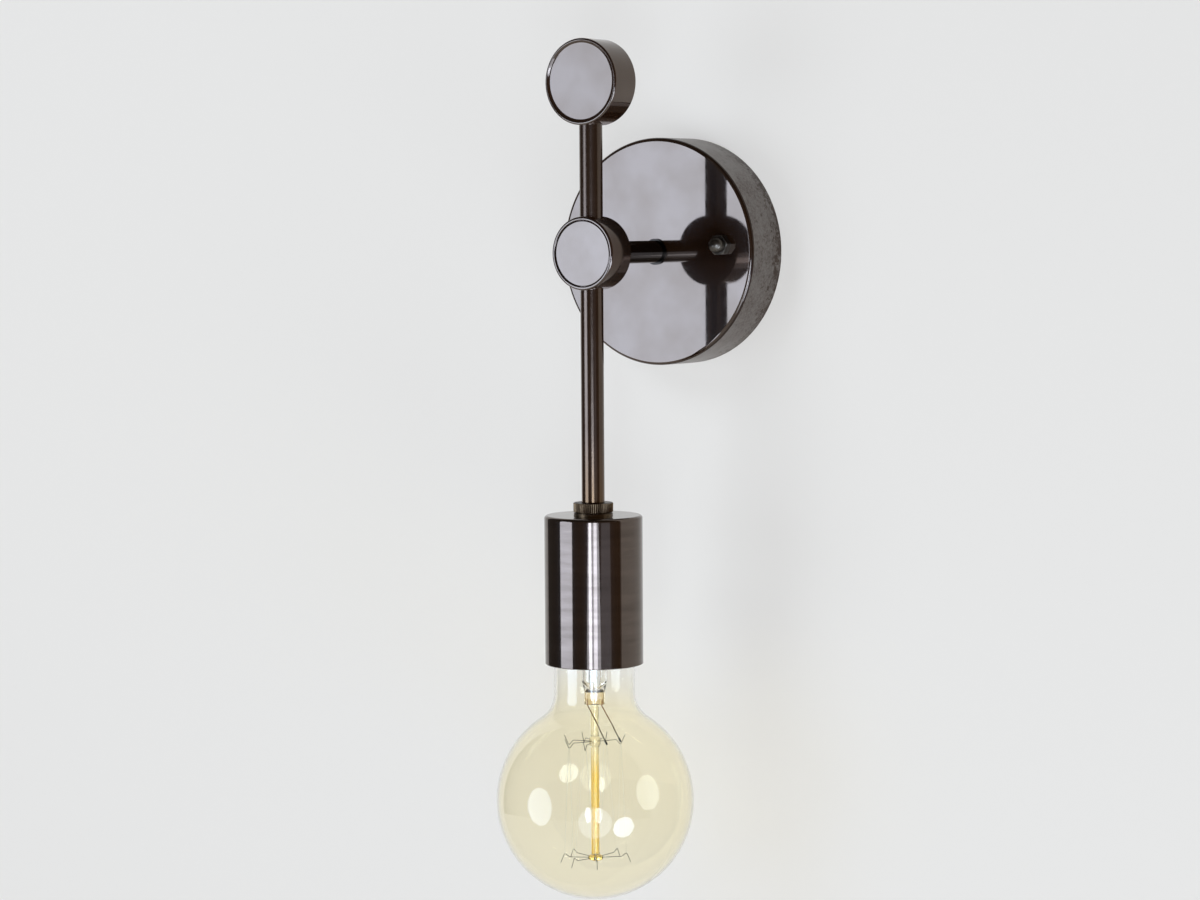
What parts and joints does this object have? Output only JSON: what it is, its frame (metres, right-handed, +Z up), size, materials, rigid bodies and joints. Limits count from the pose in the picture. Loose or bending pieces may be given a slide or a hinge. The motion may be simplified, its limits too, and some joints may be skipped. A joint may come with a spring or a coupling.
{
  "type": "wall sconce",
  "caption": "Wall sconce with a round canopy, short arm, vertical rod with a disc knob on top, and a metal cup that holds a globe bulb pointing down.",
  "frame": {"origin": "on the wall, at the centre of the canopy's open back", "axes": "+X to the right facing the wall, +Y into the wall, +Z up"},
  "size_m": [0.1114, 0.1294, 0.4117],
  "materials": {
    "bronze": "polished dark bronze plating",
    "antique_brass": "brown antique brass, knurled",
    "zinc_steel": "zinc plated",
    "earth_green": "green earth screw",
    "plain_brass": "plain brass",
    "white_nylon": "moulded nylon",
    "phenolic": "black phenolic",
    "black_wire": "black insulation",
    "white_wire": "white insulation",
    "solder": "solder",
    "black_glass": "black glass insulator",
    "base_metal": "nickel plated brass sheet",
    "amber_glass": "amber tinted blown glass",
    "clear_glass": "clear glass",
    "post_glass": "amber lit glass rod",
    "mount_wire": "dark support wire",
    "filament_wire": "dark fine filament"
  },
  "bodies": {
    "fixture": {"wall_bar": "zinc_steel", "stud_bar": "zinc_steel", "bar_rivet": "zinc_steel", "canopy_studs": "zinc_steel", "stud_nuts": "zinc_steel", "ground_screw": "earth_green", "terminal_block": "white_nylon", "block_screws": "plain_brass", "canopy": "bronze", "cap_nuts": "bronze", "arm_tube": "bronze", "arm_collar": "bronze", "arm_washer": "zinc_steel", "arm_nut": "zinc_steel", "hub_body": "bronze", "hub_cover": "bronze", "upper_rod": "bronze", "top_knob": "bronze", "lower_rod": "bronze", "knurled_ring": "antique_brass", "socket_cup": "bronze", "holder_cap": "phenolic", "holder_body": "phenolic", "screw_shell": "plain_brass", "centre_contact": "plain_brass", "holder_screws": "plain_brass", "line_wire": "black_wire", "neutral_wire": "white_wire"},
    "bulb_tip": {"bulb_contact": "solder"},
    "bulb": {"bulb_insulator": "black_glass", "bulb_cap": "base_metal", "bulb_glass": "amber_glass", "bulb_stem": "clear_glass", "exhaust_tube": "clear_glass", "bulb_post": "post_glass", "bulb_leads": "mount_wire", "upper_supports": "mount_wire", "lower_supports": "mount_wire", "filament": "filament_wire"}
  },
  "joints": [
    {"name": "bulb_travel", "type": "slide", "parent": "fixture", "child": "bulb_tip", "axis": [0, 0, -1], "range_m": [0, 0.0182]},
    {"name": "bulb_turn", "type": "hinge", "parent": "bulb_tip", "child": "bulb", "pos_m": [0, -0.0819, -0.17], "axis": [0, 0, -1], "range_deg": [0, 1800]}
  ],
  "couplings": [
    {"joint": "bulb_travel", "follows": "bulb_turn", "m_per_rad": 0.0005775}
  ]
}
